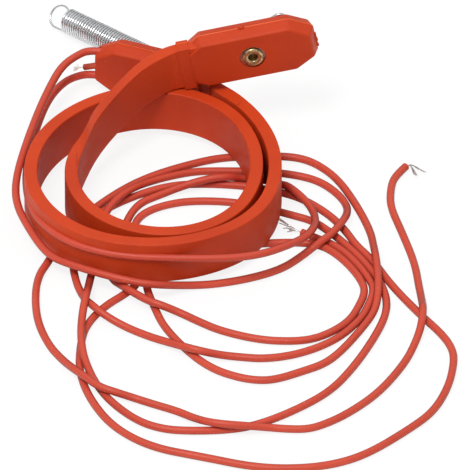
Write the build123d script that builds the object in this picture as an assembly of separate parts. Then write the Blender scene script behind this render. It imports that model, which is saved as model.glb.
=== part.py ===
from build123d import *
import os
from math import cos, degrees, hypot, pi, radians, sin, tan

os.makedirs("parts", exist_ok=True)

# A silicone heating strap, coiled in two turns and standing on its edge.
# Millimetres, +Z up. The strap stands over its own leads, which lie on the floor.

# Silicone strap
strap_width = 15.0
strap_thickness = 4.2

# Silicone leads
lead_diameter = 2.5
lead_clearance = 0.3

# The coil: its inner turn starts at the left, runs anticlockwise and climbs to the outer turn.
# Each arc has the radius of the core that the strap is wound on, and its turn in degrees.
coil_left = -29.46
coil_start_y = -30.68
coil_arcs = [
    (27.6, 77.9),
    (24.2, 81.6),
    (41.1, 47.6),
    (26.2, 78.4),
    (35.3, 75.8),
    (28.9, 73.5),
    (36.7, 49.3),
    (23.8, 43.3),
    (43.7, 49.6),
]
outer_end_arcs = [(112.4, 7.0), (40.0, 2.8)]
head_core = 40.0

# The neck: the inner end turns clockwise and climbs over the coil to the eyelet head.
neck_arcs = [(30.5, 26.7), (49.6, 14.4), (96.0, 15.4), (10.3, 28.5)]
neck_rises = [
    (0.0, 0.0, 0.0),
    (4.1, 3.4, 21.0),
    (7.2, 6.0, 23.0),
    (13.2, 9.7, 22.0),
    (20.0, 13.3, 19.0),
    (26.4, 14.85, 12.0),
]
neck_pitch = 10.2
neck_top = 15.6

# Moulded heads
head_length = 38.7
head_height = 16.4
head_thickness = 8.3
head_flare = 1.25
head_skin = 0.8
free_chamfer = (6.4, 3.8)
collar_chamfer = (4.2, 3.1)
lead_head_straight = 19.7
collar_length = 3.8
collar_wall = 0.4
tongue_length = 14.7

# Tubular rivets and their washers
rivet_radius = 2.1
rivet_bore = 1.45
rivet_fit = 0.05
dome_radius = 3.05
dome_height = 1.0
back_stand = 4.5
back_flange_radius = 3.0
back_flange_thickness = 0.6
washer_radius = 3.9
washer_thickness = 0.5
counterbore_radius = 4.1
counterbore_depth = 1.2

# Closing spring, a full loop at each end
spring_radius = 4.1
spring_wire = 0.75
spring_coils = 50
spring_pitch = 0.755
spring_direction = 137.2
spring_fall = 5.64
loop_reach = 3.9
loop_sweep = 300.0
loop_stand = 2.3
loop_gap = 0.3
loop_inset = 0.05
far_loop_roll = -45.0

# Closing hook
hook_wire = 1.1
hook_angle = 25.0
hook_shank = 11.9
hook_bend = 2.0
hook_tail = 3.5
hook_eye_sweep = 320.0
hook_fit = 0.06
hook_gap = 0.3

# Heating cord, splices and the cut tail
cord_side = 1.6
cord_offset = 4.4
cord_end_wall = 2.0
splice_radius = 1.3
splice_length = 7.0
splice_inset = 5.0
lead_spread = 4.9
lead_depth = 3.8
lead_fit = 0.05
tail_radius = 1.0
tail_length = 9.0
tail_inset = 3.0
tail_fall = 24.0
fibre_radius = 0.6
fibre_tip = 0.15
fibre_length = 3.0

# Routes of the leads, from where they leave the head to their cut ends
upper_lead_points = [
    (-25.6, 35.4, 14.4), (-31.7, 31.2, 13.9), (-35.4, 26.6, 13.4), (-38.4, 18.7, 12.9),
    (-42, 7.1, 12.3), (-46.3, -9.5, 10.8), (-49.4, -24.2, 8.4), (-48.9, -35.2, 7.2),
    (-44.3, -47.2, 6.3), (-40.3, -55.1, 5.7), (-36.6, -59.8, 5.6), (-30.5, -64.3, 6.4),
    (-20.7, -69.5, 6.8), (-11.1, -72.7, 6.5), (-4.5, -73.2, 5.9), (0.7, -70.9, 3.8),
    (6.8, -67.8, 1.25), (14, -67.2, 1.25), (24.8, -64.4, 1.25), (34.8, -59.7, 1.25),
    (41.1, -53.3, 1.25), (46.2, -49.7, 3.6), (50.5, -45.9, 4.2), (53.9, -39.6, 4.2),
    (55.5, -34, 2.7), (55.5, -28, 1.25), (52.8, -22.2, 1.25), (47.5, -16.2, 1.25),
    (41.3, -13, 1.25), (31.1, -10.8, 1.25), (17, -10.4, 1.25), (7.1, -10.6, 1.25),
    (-1.6, -13.4, 1.25), (-7.4, -16.7, 1.8), (-11.5, -21.6, 3.9), (-16.5, -26.9, 4.4),
    (-21, -33.5, 2.9), (-22.3, -39.1, 1.25), (-23, -46.2, 1.25), (-24.2, -56.3, 1.25),
    (-25.3, -63.6, 1.25), (-25.9, -69.6, 2.7), (-26.5, -76.8, 5.5), (-27.4, -82.3, 4.7),
    (-28, -88, 3.7), (-28.2, -96.3, 4.2), (-27.6, -104.3, 4.2), (-26.1, -109.6, 2.6),
    (-23.6, -116, 1.25), (-18.9, -125.2, 1.25), (-10.6, -134.6, 1.25), (-2.6, -138.7, 1.25),
    (5.7, -139.6, 1.25), (17.2, -139.2, 1.25), (25.9, -137.2, 1.25), (37.1, -130.8, 1.25),
    (49.6, -120.7, 1.25), (57.5, -107.8, 1.25), (64.3, -92.5, 1.25), (67.7, -81.4, 1.25),
    (67.6, -72.6, 1.25), (64.6, -62.6, 1.25), (57.5, -50.8, 1.25), (50.2, -41.2, 1.25),
    (44.6, -35.5, 1.25), (38.1, -32.7, 1.25), (28, -28.4, 1.25), (17.9, -25.8, 1.25),
    (5.7, -25.5, 1.25), (-2.4, -27.7, 1.25), (-8.4, -31.3, 1.25), (-11.5, -36.2, 1.25),
    (-11.9, -42.8, 1.25), (-11.3, -52.8, 1.25), (-10.1, -61.5, 1.25), (-10.7, -67.5, 1.25),
    (-14.5, -72.2, 1.25), (-20.9, -78.2, 1.25), (-26.4, -86.9, 1.25), (-28.4, -96.8, 1.25),
    (-28.7, -111.4, 1.25), (-24.8, -125.2, 1.25), (-17.6, -138.2, 1.25), (-5.8, -147.7, 1.25),
    (9.7, -152.2, 1.25), (26.2, -157.4, 1.25), (40.2, -158, 1.25), (52.1, -155.6, 1.25),
    (62.1, -150.2, 1.25), (74.1, -139, 1.25), (81.9, -130.3, 1.25), (86.6, -118.5, 1.25),
    (88.5, -107.3, 1.25), (88.4, -100, 1.25), (85.2, -92.3, 1.25), (78.1, -82.3, 1.25),
    (69.3, -68, 1.25), (63.5, -55.4, 1.25), (58, -47.5, 1.25), (55.1, -40.7, 1.25),
    (49.9, -32.5, 1.25), (42.2, -25, 1.25), (35, -21.2, 1.25), (23.3, -17.8, 1.25),
    (8.1, -16.7, 1.25), (-2.4, -18.3, 1.25), (-13.6, -24.1, 1.25), (-23.3, -31.7, 1.25),
    (-29.5, -42.5, 1.25), (-31.4, -54.2, 1.25), (-29.9, -66.8, 1.25), (-27.2, -74.9, 1.5),
    (-24.9, -81.2, 4.4), (-21.1, -84.8, 3.3), (-14.5, -88.4, 1.25), (-6.7, -93.3, 1.25),
    (-1.5, -96.4, 1.8), (3.8, -101.3, 3.9), (9.1, -103.8, 4.2), (15.1, -102.9, 1.8),
    (21.2, -103.3, 1.25), (29.8, -104.3, 1.25), (40.8, -101.7, 1.25), (51.9, -94.9, 1.25),
    (59.7, -84.5, 1.25), (62.6, -75.7, 1.25), (63.8, -69.5, 1.25), (62.1, -63.9, 1.25),
    (58.2, -56.4, 1.25), (53.3, -49.4, 1.25), (48.4, -45.7, 1.25), (41.1, -41.3, 1.25),
]
lower_lead_points = [
    (-25.6, 35.4, 4.5), (-32, 32.4, 4.9), (-35.8, 27.9, 5.1), (-39.4, 20.4, 5.3), (-42.3, 8.8, 5.7),
    (-45, -7.6, 7.1), (-46.2, -24.8, 9.4), (-44.7, -40.6, 11.2), (-40.8, -50.7, 12.5),
    (-34.4, -58.8, 13), (-27, -63.7, 13), (-14.9, -67.8, 13), (2.5, -68.8, 13), (17.3, -68.8, 13),
    (27, -66.6, 12.5), (33.8, -61.9, 11.2), (41.4, -53.8, 8.7), (44.9, -46.6, 7),
    (45.6, -38.9, 4.9), (44.1, -31.4, 3.5), (40.9, -26.1, 3.8), (36.8, -21.3, 4),
    (34.3, -17.2, 1.25), (28.5, -14.5, 1.25), (22.5, -14.4, 1.25), (18, -17.2, 4.5),
    (12, -17.8, 4.2), (3.4, -19.8, 2.7), (-4, -22.7, 1.25), (-9.1, -25.8, 1.25), (-12.6, -31, 1.25),
    (-15.1, -39.6, 1.25), (-18.1, -50.9, 1.25), (-19.4, -58.9, 1.25), (-18.7, -64.7, 1.25),
    (-15.8, -69.6, 2.9), (-13.2, -74.4, 4.8), (-7.6, -78.7, 4.1), (-2.4, -81.1, 3.8),
    (3.4, -82, 1.4), (8.4, -85.6, 1.25), (15.7, -90.5, 1.25), (27.8, -94.9, 1.25),
    (38, -95.6, 1.25), (44.9, -94.4, 1.25), (51.1, -90.5, 1.25), (56.1, -85.2, 1.25),
    (59.1, -77.9, 1.25), (61, -71, 1.25), (59.9, -65.4, 1.25), (56.4, -58.3, 1.25),
    (51.4, -51.3, 1.25), (46.8, -47.6, 1.25), (41.1, -46.4, 1.25), (33.4, -46.5, 1.25),
    (22.2, -47.5, 1.25), (8.6, -51.3, 1.25), (0.3, -56.1, 1.25), (-5.4, -59.7, 1.25),
    (-8, -65, 1.25), (-7.4, -70.8, 1.25), (-5.4, -78.1, 1.25), (-2.2, -88.7, 1.25),
    (5.8, -101.4, 1.25), (13.1, -109.3, 1.25), (21.5, -113.6, 1.25), (28.5, -115, 1.25),
    (34, -113.9, 1.25), (41.1, -110.4, 1.25), (48.1, -106.7, 1.25), (53.4, -100.4, 1.25),
    (59.6, -89.7, 1.25), (64, -80.7, 1.25), (65.2, -72.8, 3.2), (64.9, -63.2, 4.2),
    (64.3, -56.3, 4.3), (63.8, -50.1, 2.5), (62.8, -40.8, 1.25), (58.6, -27.9, 1.25),
    (52.8, -14.8, 1.25), (46.7, -7.5, 1.25), (41.2, -4, 1.25), (34.8, -2.9, 1.25),
    (24.6, -3.1, 1.25), (14.9, -3.8, 1.25), (4.3, -7.7, 1.25), (-6.4, -12.9, 1.25),
    (-16, -20, 1.25), (-27.6, -32.8, 1.25), (-35.1, -45.6, 1.25), (-38.6, -55.8, 1.25),
    (-41.6, -62.5, 1.25), (-42.8, -72, 1.25), (-42, -85.6, 1.25), (-38.2, -97.7, 1.25),
    (-33.9, -104.8, 1.25), (-30.6, -111.2, 3.2), (-27.3, -116, 4.3), (-22.6, -121.1, 4),
    (-17.4, -123.2, 3.5), (-11.5, -123.6, 1.4), (-5.6, -126.4, 1.25), (1.9, -129.8, 1.25),
    (6.5, -133.4, 1.7), (10.7, -138.1, 3.9), (16.1, -139.9, 4.3), (23.8, -139.8, 3.5),
    (30.4, -138.2, 1.5), (36.8, -138.7, 1.25), (43, -138.7, 1.25), (48.8, -135.9, 1.25),
    (56.1, -130.4, 1.25), (65.2, -120.6, 1.25), (73.2, -106.4, 1.25), (76.7, -95.9, 1.25),
    (78.6, -88.6, 2.5), (79.1, -83.1, 4.4), (78.8, -77, 2.3), (77.9, -68.4, 1.25),
    (76.6, -56.3, 1.25), (72.4, -40.1, 1.25), (69.1, -28.3, 1.25), (69.3, -19.2, 1.25),
    (70.6, -13.1, 1.25), (74.2, -8.1, 1.25),
]
strand_radius = 0.6
strand_tip = 0.35
strand_length = 7.0

coil_lift = lead_diameter + lead_clearance
head_half = head_height / 2 + head_flare
floor_rise = head_half - strap_width / 2
up = Vector(0, 0, 1)


def ahead(heading):
    return Vector(cos(radians(heading)), sin(radians(heading)), 0)


def leftward(heading):
    return ahead(heading + 90)


def walk(point, heading, legs):
    """Start, middle and end of each leg: arcs (radius, degrees, left is positive) or (length, 0)."""
    stations = []
    for size, turn in legs:
        start = (point, heading)
        if turn == 0:
            middle = (point + ahead(heading) * (size / 2), heading)
            point = point + ahead(heading) * size
        else:
            radius = size if turn > 0 else -size
            centre = point + leftward(heading) * radius
            half = heading + turn / 2
            middle = (centre - leftward(half) * radius, half)
            heading = heading + turn
            point = centre - leftward(heading) * radius
        stations.append((start, middle, (point, heading)))
    return stations


def beside(station, side):
    return station[0] + leftward(station[1]) * side


def side_edge(leg, side, backwards=False):
    points = [beside(station, side) for station in leg]
    if backwards:
        points.reverse()
    if leg[0][1] == leg[2][1]:
        return Line(points[0], points[2])
    return ThreePointArc(*points)


def band(stations, left, right):
    """Plan of a strip that runs along the stations, left and right being its edges."""
    first = stations[0][0]
    last = stations[-1][2]
    outline = [side_edge(leg, left) for leg in stations]
    outline.append(Line(beside(last, left), beside(last, right)))
    outline += [side_edge(leg, right, True) for leg in reversed(stations)]
    outline.append(Line(beside(first, right), beside(first, left)))
    return make_face(outline)


def tube(path, radius):
    return sweep(Plane(origin=path @ 0, z_dir=path % 0) * Circle(radius), path=path)


# Paths of the strap
coil_legs = []
wound = 0
for core, turn in coil_arcs:
    coil_legs.append((core + strap_thickness * (0.5 + (wound + turn / 2) / 360), turn))
    wound += turn
coil_start = Vector(coil_left - strap_thickness / 2, coil_start_y, 0)
coil = walk(coil_start, -90, coil_legs)

outer_legs = []
for core, turn in outer_end_arcs:
    outer_legs.append((core + strap_thickness * (0.5 + (wound + turn / 2) / 360), turn))
    wound += turn
outer_end = walk(*coil[-1][2], outer_legs)
collar_point, collar_heading = outer_end[-1][2]

head_bend_radius = head_core + strap_thickness * (0.5 + wound / 360)
head_bend = degrees((head_length - lead_head_straight) / head_bend_radius)
tongue_turn = degrees(tongue_length / head_bend_radius)
lead_tongue = walk(collar_point, collar_heading, [(head_bend_radius, tongue_turn)])
lead_head_path = walk(
    collar_point, collar_heading, [(head_bend_radius, head_bend), (lead_head_straight, 0)]
)
free_point, free_heading = lead_head_path[-1][2]

neck = walk(coil_start, 90, [(radius, -turn) for radius, turn in neck_arcs])
neck_point, neck_heading = neck[-1][2]
tongue_run = collar_length + tongue_length
neck_end = walk(neck_point, neck_heading, [(tongue_run * cos(radians(neck_pitch)), 0)])
neck_slope = tan(radians(neck_pitch)) / cos(radians(neck_heading))
tall = 80.0


def rise_edge(offset, start_x, slope, end_x):
    """Lower edge of the neck lifted square to the strap by an offset: a curve, then a straight run."""
    points = []
    for along, rise, lean in neck_rises:
        points.append((start_x + along, 0, coil_lift + rise + offset / cos(radians(lean))))
    top_x = neck_point.X
    top = (top_x, 0, coil_lift + neck_top + offset / cos(radians(neck_pitch)))
    curve = Spline(*points, top, tangents=[(1, 0, 0.35), (1, 0, slope)])
    end = (end_x, 0, top[2] + slope * (end_x - top_x))
    return curve, Line(top, end)


def follow_neck(half, low, high, path):
    """A strip along the neck, half thick each side, between two heights of the strap."""
    plan = band(path, half, -half)
    start_x = coil_left
    end_x = neck_end[-1][2][0].X + strap_width
    lower, lower_run = rise_edge(low, start_x, neck_slope, end_x)
    upper, upper_run = rise_edge(high, start_x, neck_slope, end_x)
    back_x = start_x - strap_thickness - 1
    flat_low = Line((back_x, 0, coil_lift + low), lower @ 0)
    flat_high = Line((back_x, 0, coil_lift + high), upper @ 0)
    outline = [
        flat_low,
        lower,
        lower_run,
        Line(lower_run @ 1, upper_run @ 1),
        upper_run,
        upper,
        flat_high,
        Line(flat_high @ 0, flat_low @ 0),
    ]
    wall = extrude(make_face(outline), amount=tall, dir=(0, 1, 0))
    wall = Pos(0, coil_start_y - 1, 0) * wall
    return extrude(plan, amount=tall) & wall


def follow_outer_end(half, low, high, path):
    """The same strip along the outer end, which comes down to the floor before the lead head."""
    plan = band(path, half, -half)
    start = coil[-1][2][0]
    down_x = collar_point.X + collar_length
    end_x = free_point.X - head_thickness
    far_x = start.X + strap_thickness
    edges = []
    for offset in (low, high):
        level = coil_lift + offset
        rest = floor_rise + offset
        flat = Line((far_x, 0, level), (start.X, 0, level))
        fall = Spline(
            (start.X, 0, level), (down_x, 0, rest), tangents=[(-1, 0, 0), (-1, 0, 0)]
        )
        run = Line((down_x, 0, rest), (end_x, 0, rest))
        edges.append((flat, fall, run))
    lower, upper = edges
    outline = [
        *lower,
        Line(lower[2] @ 1, upper[2] @ 1),
        *upper,
        Line(upper[0] @ 0, lower[0] @ 0),
    ]
    wall = extrude(make_face(outline), amount=tall, dir=(0, 1, 0))
    wall = Pos(0, start.Y - strap_width, 0) * wall
    return extrude(plan, amount=tall) & wall


def follow_coil(half, low, high):
    """The same strip along the two flat turns."""
    return Pos(0, 0, coil_lift + low) * extrude(band(coil, half, -half), amount=high - low)


# Frames of the heads, whose front skin covers the strap's inner face
front = strap_thickness / 2 + head_skin
parting = front - head_thickness / 2
lead_head_z = floor_rise + strap_width / 2
eyelet_z = coil_lift + neck_top + strap_width / 2 / cos(radians(neck_pitch))
eyelet_front = beside((neck_point, neck_heading), -front) + up * eyelet_z
strap_middle = beside((neck_point, neck_heading), 0) + up * eyelet_z
eyelet_along = ahead(neck_heading) * cos(radians(neck_pitch)) + up * sin(radians(neck_pitch))
eyelet_back = leftward(neck_heading)


def head_section(frame):
    """Cross-section of a head: flat faces and two sides that meet at the parting line."""
    half = head_thickness / 2
    side = head_height / 2
    corners = [
        (-half, -side),
        (-half, side),
        (0, head_half),
        (half, side),
        (half, -side),
        (0, -head_half),
    ]
    return frame * make_face(Polyline(*corners, close=True))


def end_cuts(origin, outward, across, run, drop):
    """Half spaces that give a head's end its draft and its two chamfers."""
    frame = Plane(origin=origin, x_dir=outward, z_dir=across)
    slope = head_flare / (head_thickness / 2)
    slant = hypot(run, drop)
    corner = head_height / 2 - drop
    cuts = []
    for side in (1, -1):
        level = side * head_thickness / 2
        faces = [((0, 0, level), (1, 0, side * slope))]
        for top in (1, -1):
            normal = (drop / slant, top * run / slant, side * slope)
            faces.append(((0, top * corner, level), normal))
        for point, normal in faces:
            wall = Plane(origin=point, z_dir=normal)
            block = Box(60, 60, 15, align=(Align.CENTER, Align.CENTER, Align.MIN))
            cuts.append(frame * wall * block)
    return cuts


def rivet_seat(frame):
    """Counterbore and hole, cut from the front face."""
    mouth = 1.0
    depth = counterbore_depth + mouth
    counterbore = Pos(0, 0, counterbore_depth - depth / 2) * Cylinder(counterbore_radius, depth)
    hole = Cylinder(rivet_radius + rivet_fit, 4 * head_thickness)
    return [frame * counterbore, frame * hole]


def make_rivet(frame):
    """Tubular rivet: rolled dome on the washer, barrel and rolled back flange."""
    seat = counterbore_depth - washer_thickness
    back = head_thickness + back_stand
    dome_top = seat - dome_height
    lip = (rivet_radius + rivet_bore) / 2
    profile = [
        Line((rivet_bore, dome_top + 0.4), (rivet_bore, back - 0.3)),
        ThreePointArc((rivet_bore, back - 0.3), (lip - 0.1, back - 0.1), (lip + 0.3, back)),
        Line((lip + 0.3, back), (back_flange_radius, back - 0.15)),
        Line(
            (back_flange_radius, back - 0.15),
            (back_flange_radius, back - back_flange_thickness),
        ),
        Line((back_flange_radius, back - back_flange_thickness), (rivet_radius, back - back_flange_thickness)),
        Line((rivet_radius, back - back_flange_thickness), (rivet_radius, seat)),
        Line((rivet_radius, seat), (dome_radius, seat)),
        ThreePointArc((dome_radius, seat), (dome_radius - 0.25, dome_top + 0.35), (lip + 0.4, dome_top)),
        ThreePointArc((lip + 0.4, dome_top), (lip - 0.1, dome_top + 0.08), (rivet_bore, dome_top + 0.4)),
    ]
    section = Plane.XZ * make_face(profile)
    return frame * revolve(section, Axis.Z)


def make_washer(frame):
    ring = Circle(washer_radius) - Circle(rivet_radius + rivet_fit)
    seat = counterbore_depth - washer_thickness
    return frame * Pos(0, 0, seat) * extrude(ring, amount=washer_thickness)


# Strap
half_strap = strap_thickness / 2
neck_strip = follow_neck(half_strap, 0, strap_width, neck + neck_end)
outer_strip = follow_outer_end(half_strap, 0, strap_width, outer_end + lead_tongue)
strap_body = follow_coil(half_strap, 0, strap_width) + neck_strip + outer_strip

# Heating cord: two runs in the strap, joined by a loop near its inner end
cord_run = tongue_run - cord_end_wall
cord_neck = walk(neck_point, neck_heading, [(cord_run * cos(radians(neck_pitch)), 0)])
loop_run = walk(*cord_neck[-1][2], [(-cord_side, 0)])
splice_side = lead_head_straight - splice_inset - splice_length
cord_lead_end = walk(
    collar_point, collar_heading, [(head_bend_radius, head_bend), (splice_side, 0)]
)
half_cord = cord_side / 2
runs = []
for height in (strap_width / 2 - cord_offset, strap_width / 2 + cord_offset):
    low = height - half_cord
    high = height + half_cord
    run = follow_coil(half_cord, low, high)
    run += follow_neck(half_cord, low, high, neck + cord_neck)
    run += follow_outer_end(half_cord, low, high, outer_end + cord_lead_end)
    runs.append(run)
end_loop = follow_neck(
    half_cord,
    strap_width / 2 - cord_offset - half_cord,
    strap_width / 2 + cord_offset + half_cord,
    [[loop_run[0][2], loop_run[0][1], loop_run[0][0]]],
)
heating_cord = runs[0] + end_loop + runs[1]
strap = strap_body - heating_cord


def make_block(frame, straight):
    return frame * extrude(head_section(Plane.XY), amount=straight)


# Lead head: bent with the outer turn, straight towards the leads
lead_side = lead_head_path[0][0]
straight_side = lead_head_path[1][0]


def lead_frame(station):
    """Cross-section frame on the parting plane at mid height, looking along the path."""
    return Plane(
        origin=beside(station, parting) + up * lead_head_z,
        x_dir=leftward(station[1]),
        z_dir=ahead(station[1]),
    )


bend_axis = Axis(beside(lead_side, head_bend_radius), up)
lead_block = revolve(head_section(lead_frame(lead_side)), bend_axis, head_bend)
lead_block += make_block(lead_frame(straight_side), lead_head_straight + head_flare)
lead_block += make_block(lead_frame(lead_side), -head_flare)
free_station = lead_head_path[1][2]
lead_ends = [
    (free_station, ahead(free_heading), free_chamfer),
    (lead_side, ahead(collar_heading) * -1, collar_chamfer),
]
for station, outward, chamfer in lead_ends:
    corner = beside(station, parting) + up * lead_head_z
    for cut in end_cuts(corner, outward, leftward(station[1]), *chamfer):
        lead_block -= cut
sleeve_path = walk(*lead_side, [(-collar_length, 0)])
sleeve_back = [[sleeve_path[0][2], sleeve_path[0][1], sleeve_path[0][0]]]
sleeve = extrude(
    band(sleeve_back, half_strap + collar_wall, -half_strap - collar_wall),
    amount=strap_width + 2 * collar_wall,
)
lead_block += Pos(0, 0, floor_rise - collar_wall) * sleeve

rivet_station = walk(*straight_side, [(lead_head_straight - head_length / 2, 0)])[0][2]
lead_rivet_frame = Plane(
    origin=beside(rivet_station, front) + up * lead_head_z,
    x_dir=ahead(free_heading) * -1,
    z_dir=leftward(free_heading) * -1,
)

# Splices and the bores of the leads
splices = []
lead_bores = []
lead_starts = []
splice_end = walk(*straight_side, [(lead_head_straight - splice_inset, 0)])[0][2]
for side in (1, -1):
    start = beside(splice_end, front - lead_depth) + up * (lead_head_z + side * lead_spread)
    inwards = Plane(origin=start, z_dir=ahead(free_heading) * -1)
    outwards = Plane(origin=start, z_dir=ahead(free_heading))
    bottom = (Align.CENTER, Align.CENTER, Align.MIN)
    splices.append(inwards * Cylinder(splice_radius, splice_length, align=bottom))
    bore = Cylinder(lead_diameter / 2 + lead_fit, splice_inset + 2 * head_flare, align=bottom)
    lead_bores.append(outwards * bore)
    lead_starts.append(start)

# Cut tail of the heating cord's core, and its frayed glass fibres
tail_station = walk(*straight_side, [(lead_head_straight - tail_inset, 0)])[0][2]
tail_start = beside(tail_station, parting) + up * lead_head_z
tail_along = ahead(free_heading) * cos(radians(tail_fall)) - up * sin(radians(tail_fall))
tail_frame = Plane(origin=tail_start, z_dir=tail_along)
core_tail = tail_frame * Cylinder(tail_radius, tail_length, align=bottom)
core_fibres = tail_frame * Pos(0, 0, tail_length) * Cone(
    fibre_radius, fibre_tip, fibre_length, align=bottom
)

lead_head = lead_block - outer_strip - heating_cord
for tool in [*rivet_seat(lead_rivet_frame), *splices, *lead_bores, core_tail]:
    lead_head -= tool

# Eyelet head: straight, pitched with the end of the neck
eyelet_side = eyelet_front + eyelet_along * collar_length
eyelet_section = Plane(
    origin=eyelet_side + eyelet_back * (head_thickness / 2),
    x_dir=eyelet_back,
    z_dir=eyelet_along,
)
eyelet_block = make_block(eyelet_section, head_length + head_flare)
eyelet_block += make_block(eyelet_section, -head_flare)
eyelet_ends = [
    (0, eyelet_along * -1, collar_chamfer),
    (head_length, eyelet_along, free_chamfer),
]
for place, outward, chamfer in eyelet_ends:
    corner = eyelet_section.origin + eyelet_along * place
    for cut in end_cuts(corner, outward, eyelet_back, *chamfer):
        eyelet_block -= cut
sleeve_section = Plane(origin=strap_middle, x_dir=eyelet_back, z_dir=eyelet_along)
eyelet_block += sleeve_section * Box(
    strap_thickness + 2 * collar_wall,
    strap_width + 2 * collar_wall,
    collar_length,
    align=bottom,
)
eyelet_rivet_frame = Plane(
    origin=eyelet_side + eyelet_along * (head_length / 2),
    x_dir=eyelet_along,
    z_dir=eyelet_back,
)
eyelet_head = eyelet_block - neck_strip - end_loop
for tool in rivet_seat(eyelet_rivet_frame):
    eyelet_head -= tool

# Spring: close-wound body, seen as ridges, and a full loop at each end
loop_middle = lead_rivet_frame.origin
loop_middle += lead_rivet_frame.z_dir * (head_thickness + loop_stand)
wire_radius = spring_wire / 2
coil_radius = spring_radius - wire_radius
loop_middle -= up * (coil_radius - loop_inset - wire_radius - rivet_radius - loop_gap)
spring_along = ahead(spring_direction) * cos(radians(spring_fall)) - up * sin(radians(spring_fall))
spring_across = leftward(spring_direction) * -1
spring_up = spring_across.cross(spring_along)
spring_length = spring_coils * spring_pitch
body_start = loop_middle + spring_along * loop_reach
ridges = []
for turn in range(spring_coils):
    bottom_x = turn * spring_pitch
    ridges += [
        (bottom_x, coil_radius + 0.1),
        (bottom_x + spring_pitch * 0.3, spring_radius),
        (bottom_x + spring_pitch * 0.7, spring_radius),
    ]
ridges += [
    (spring_length, coil_radius + 0.1),
    (spring_length, coil_radius - wire_radius),
    (0, coil_radius - wire_radius),
]
spring_frame = Plane(origin=body_start, x_dir=spring_along, z_dir=spring_across)
spring = spring_frame * revolve(make_face(Polyline(*ridges, close=True)), Axis.X)


def spring_loop(middle, outwards, roll):
    """Wire that leaves the last coil straight and goes round in a full loop."""
    side = spring_across * cos(radians(roll)) + spring_up * sin(radians(roll))
    across = outwards.cross(side)
    radius = coil_radius - loop_inset
    edge = middle + across * radius
    start = edge - outwards * (loop_reach + spring_pitch)
    ring = Plane(origin=middle, x_dir=across, z_dir=side) * CenterArc(
        (0, 0), radius, 0, loop_sweep
    )
    return tube(Line(start, edge) + ring, wire_radius)


far_middle = body_start + spring_along * (spring_length + loop_reach)
spring += spring_loop(loop_middle, spring_along * -1, 0)
spring += spring_loop(far_middle, spring_along, far_loop_roll)

# Hook: an eye round the eyelet's barrel, a shank and a bend
hook_radius = rivet_radius + hook_fit + hook_wire / 2
hook_origin = eyelet_rivet_frame.origin
hook_origin += eyelet_back * (head_thickness + hook_gap + hook_wire / 2)
hook_plane = Plane(origin=hook_origin, x_dir=eyelet_along, z_dir=eyelet_back * -1)
eye_end = hook_angle + 90
shank_way = Vector(cos(radians(hook_angle)), sin(radians(hook_angle)))
shank_side = Vector(-shank_way.Y, shank_way.X)
shank_start = shank_side * hook_radius
shank_end = shank_start + shank_way * hook_shank
bend_middle = shank_end - shank_side * hook_bend
tail_point = shank_end - shank_side * (2 * hook_bend)
hook_path = hook_plane * (
    CenterArc((0, 0), hook_radius, eye_end + hook_eye_sweep, -hook_eye_sweep)
    + Line(shank_start, shank_end)
    + ThreePointArc(shank_end, bend_middle + shank_way * hook_bend, tail_point)
    + Line(tail_point, tail_point - shank_way * hook_tail)
)
closure_hook = tube(hook_path, hook_wire / 2)

# Leads: straight runs joined by arcs as large as their runs allow


def lead_path(start, points):
    corners = [start] + [Vector(*point) for point in points]
    radii = []
    for before, corner, after in zip(corners, corners[1:], corners[2:]):
        turn = (corner - before).get_angle(after - corner)
        shorter = min((corner - before).length, (after - corner).length)
        radii.append(0.45 * shorter / tan(radians(turn / 2)))
    print("smallest radii", [round(radius, 1) for radius in sorted(radii)[:5]])
    return FilletPolyline(*corners, radius=radii)


leads = []
strands = []
for start, points in zip(lead_starts, (upper_lead_points, lower_lead_points)):
    path = lead_path(start, points)
    lead = tube(path, lead_diameter / 2)
    section = pi * (lead_diameter / 2) ** 2
    print("lead", round(path.length, 1), "mm, volume ratio", round(lead.volume / section / path.length, 3))
    leads.append(lead)
    strands.append(
        Plane(origin=path @ 1, z_dir=path % 1)
        * Cone(strand_radius, strand_tip, strand_length, align=bottom)
    )

nodes = {
    "strap": strap,
    "heating_cord": heating_cord,
    "lead_head": lead_head,
    "eyelet_head": eyelet_head,
    "lead_rivet": make_rivet(lead_rivet_frame),
    "lead_washer": make_washer(lead_rivet_frame),
    "eyelet_rivet": make_rivet(eyelet_rivet_frame),
    "eyelet_washer": make_washer(eyelet_rivet_frame),
    "upper_splice": splices[0],
    "lower_splice": splices[1],
    "core_tail": core_tail,
    "core_fibres": core_fibres,
    "spring": spring,
    "closure_hook": closure_hook,
    "upper_lead": leads[0],
    "lower_lead": leads[1],
    "upper_strands": strands[0],
    "lower_strands": strands[1],
}
for name, solid in nodes.items():
    solid.label = name
    export_step(solid, f"parts/{name}.step")
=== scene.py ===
import math
from random import Random

import bmesh
import bpy
from mathutils import Matrix, Vector


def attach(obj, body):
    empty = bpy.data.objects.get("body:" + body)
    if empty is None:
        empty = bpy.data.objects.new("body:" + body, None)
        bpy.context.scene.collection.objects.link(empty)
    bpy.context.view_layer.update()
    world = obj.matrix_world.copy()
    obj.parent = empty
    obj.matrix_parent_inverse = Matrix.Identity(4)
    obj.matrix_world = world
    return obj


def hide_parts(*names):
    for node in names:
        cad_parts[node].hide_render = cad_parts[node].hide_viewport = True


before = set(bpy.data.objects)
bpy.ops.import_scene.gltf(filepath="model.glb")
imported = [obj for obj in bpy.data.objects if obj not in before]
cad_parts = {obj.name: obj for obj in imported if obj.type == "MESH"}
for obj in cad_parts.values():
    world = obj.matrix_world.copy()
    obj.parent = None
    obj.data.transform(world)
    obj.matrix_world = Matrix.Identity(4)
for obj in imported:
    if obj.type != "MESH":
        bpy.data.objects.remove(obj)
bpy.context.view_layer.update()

print("frame loaded")

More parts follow.
